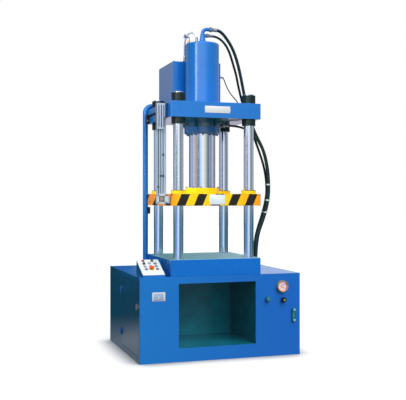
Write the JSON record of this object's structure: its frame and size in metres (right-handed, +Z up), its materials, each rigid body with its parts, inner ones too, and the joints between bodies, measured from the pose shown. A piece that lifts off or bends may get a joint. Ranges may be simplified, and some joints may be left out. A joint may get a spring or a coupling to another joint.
{
  "type": "hydraulic press",
  "caption": "Four-column hydraulic press: cabinet base with open niche, table, striped slide on chromed columns, thick crown, tall cylinder, hoses and sloping console.",
  "frame": {"origin": "on the floor under the centreline of the ram", "axes": "+X to the right seen from the operator's side, +Y to the back, +Z up along the ram"},
  "size_m": [1.52, 1.289, 3.008],
  "materials": {
    "aluminium": "drawn aluminium",
    "bare_steel": "machined steel",
    "black_plastic": "fine grain",
    "black_steel": "blackened steel",
    "blue_paint": "semi-gloss blue enamel",
    "blue_plastic": "smooth",
    "braid": "woven steel sleeve",
    "brass": "satin",
    "cast_iron": "painted casting",
    "chrome": "hard chrome, polished",
    "cyan_plastic": "smooth",
    "galvanised": "zinc plated sheet",
    "gauge_case": "polished",
    "glass": "clear",
    "green_plastic": "smooth",
    "grey_paint": "light grey enamel",
    "lavender_plastic": "smooth",
    "red_plastic": "smooth",
    "rubber": "matt black hose",
    "table_steel": "ground steel",
    "teal_plastic": "smooth",
    "white_panel": "smooth white",
    "yellow_paint": "semi-gloss yellow enamel"
  },
  "bodies": {
    "frame": {"back_cover": "blue_paint", "base_cabinet": "blue_paint", "bleed_valve": "brass", "button_collars": "bare_steel", "column_back_left": "chrome", "column_back_right": "chrome", "column_front_left": "chrome", "column_front_right": "chrome", "column_nuts": "black_steel", "console_box": "blue_paint", "console_panel": "white_panel", "crown": "blue_paint", "cylinder": "blue_paint", "door_hinges": "bare_steel", "electrical_plate": "galvanised", "gauge_case": "gauge_case", "gauge_glass": "glass", "gland_flange": "blue_paint", "hose_fittings": "bare_steel", "level_gauge": "cyan_plastic", "limit_switches": "black_plastic", "lower_hose": "rubber", "main_hose": "rubber", "motor_body": "grey_paint", "oil_tank": "grey_paint", "overflow_hose": "braid", "pump": "cast_iron", "retaining_ring": "black_steel", "return_pipe": "blue_paint", "riser_pipe": "blue_paint", "second_hose": "rubber", "sensor_cable": "rubber", "sensor_plate": "aluminium", "table": "table_steel", "tank_cable": "rubber", "tank_lid": "blue_paint", "top_tank": "blue_paint", "valve_block": "bare_steel"},
    "slide_assembly": {"slide": "yellow_paint", "guide_bushes": "yellow_paint", "ram": "chrome", "ram_flange": "yellow_paint", "stroke_rail": "aluminium", "trip_dogs": "bare_steel", "rail_foot": "aluminium"},
    "door": {"cabinet_door": "blue_paint"},
    "lock": {"door_lock": "bare_steel"},
    "pointer": {"gauge_pointer": "black_plastic"},
    "knob_left": {"valve_knob_left": "black_plastic"},
    "knob_right": {"valve_knob_right": "black_plastic"},
    "rotor": {"motor_shaft": "bare_steel"},
    "stop_button": {"emergency_stop": "red_plastic"},
    "selector": {"mode_selector": "black_plastic"},
    "button_left_high": {"button_left_high": "lavender_plastic"},
    "button_left_low": {"button_left_low": "teal_plastic"},
    "button_middle_high": {"button_middle_high": "blue_plastic"},
    "button_middle_low": {"button_middle_low": "lavender_plastic"},
    "button_right_high": {"button_right_high": "green_plastic"},
    "button_right_low": {"button_right_low": "green_plastic"},
    "button_right_middle": {"button_right_middle": "green_plastic"}
  },
  "joints": [
    {"name": "slide_stroke", "type": "slide", "parent": "frame", "child": "slide_assembly", "axis": [0, 0, 1], "range_m": [-0.15, 0.45]},
    {"name": "door_hinge", "type": "hinge", "parent": "frame", "child": "door", "pos_m": [-0.704, 0.3015, 0.375], "axis": [0, 0, -1], "range_deg": [0, 110]},
    {"name": "lock_turn", "type": "hinge", "parent": "door", "child": "lock", "pos_m": [-0.7, -0.348, 0.487], "axis": [1, 0, 0], "range_deg": [0, 90]},
    {"name": "pointer_turn", "type": "hinge", "parent": "frame", "child": "pointer", "pos_m": [0.62272, -0.4256, 0.627], "axis": [0, 1, 0], "range_deg": [0, 270], "stiffness_Nm_per_rad": 0.001, "springref_deg": -11.46},
    {"name": "knob_left_turn", "type": "hinge", "parent": "frame", "child": "knob_left", "pos_m": [0.48384, -0.425, 0.518], "axis": [0, 1, 0], "range_deg": [0, 1080]},
    {"name": "knob_right_turn", "type": "hinge", "parent": "frame", "child": "knob_right", "pos_m": [0.63574, -0.425, 0.503], "axis": [0, 1, 0], "range_deg": [0, 1080]},
    {"name": "rotor_spin", "type": "hinge", "parent": "frame", "child": "rotor", "pos_m": [-0.14, 0.56, 0.3], "axis": [1, 0, 0], "continuous": true},
    {"name": "stop_press", "type": "slide", "parent": "frame", "child": "stop_button", "axis": [0, 0.4217, -0.9068], "range_m": [0, 0.006], "stiffness_N_per_m": 800, "springref_m": -0.004},
    {"name": "selector_turn", "type": "hinge", "parent": "frame", "child": "selector", "pos_m": [-0.613, -0.22807, 0.84226], "axis": [0, -0.4217, 0.9068], "range_deg": [-45, 45]},
    {"name": "button_left_high_press", "type": "slide", "parent": "frame", "child": "button_left_high", "axis": [0, 0.4217, -0.9068], "range_m": [0, 0.004], "stiffness_N_per_m": 500, "springref_m": -0.004},
    {"name": "button_left_low_press", "type": "slide", "parent": "frame", "child": "button_left_low", "axis": [0, 0.4217, -0.9068], "range_m": [0, 0.004], "stiffness_N_per_m": 500, "springref_m": -0.004},
    {"name": "button_middle_high_press", "type": "slide", "parent": "frame", "child": "button_middle_high", "axis": [0, 0.4217, -0.9068], "range_m": [0, 0.004], "stiffness_N_per_m": 500, "springref_m": -0.004},
    {"name": "button_middle_low_press", "type": "slide", "parent": "frame", "child": "button_middle_low", "axis": [0, 0.4217, -0.9068], "range_m": [0, 0.004], "stiffness_N_per_m": 500, "springref_m": -0.004},
    {"name": "button_right_high_press", "type": "slide", "parent": "frame", "child": "button_right_high", "axis": [0, 0.4217, -0.9068], "range_m": [0, 0.004], "stiffness_N_per_m": 500, "springref_m": -0.004},
    {"name": "button_right_low_press", "type": "slide", "parent": "frame", "child": "button_right_low", "axis": [0, 0.4217, -0.9068], "range_m": [0, 0.004], "stiffness_N_per_m": 500, "springref_m": -0.004},
    {"name": "button_right_middle_press", "type": "slide", "parent": "frame", "child": "button_right_middle", "axis": [0, 0.4217, -0.9068], "range_m": [0, 0.004], "stiffness_N_per_m": 500, "springref_m": -0.004}
  ]
}
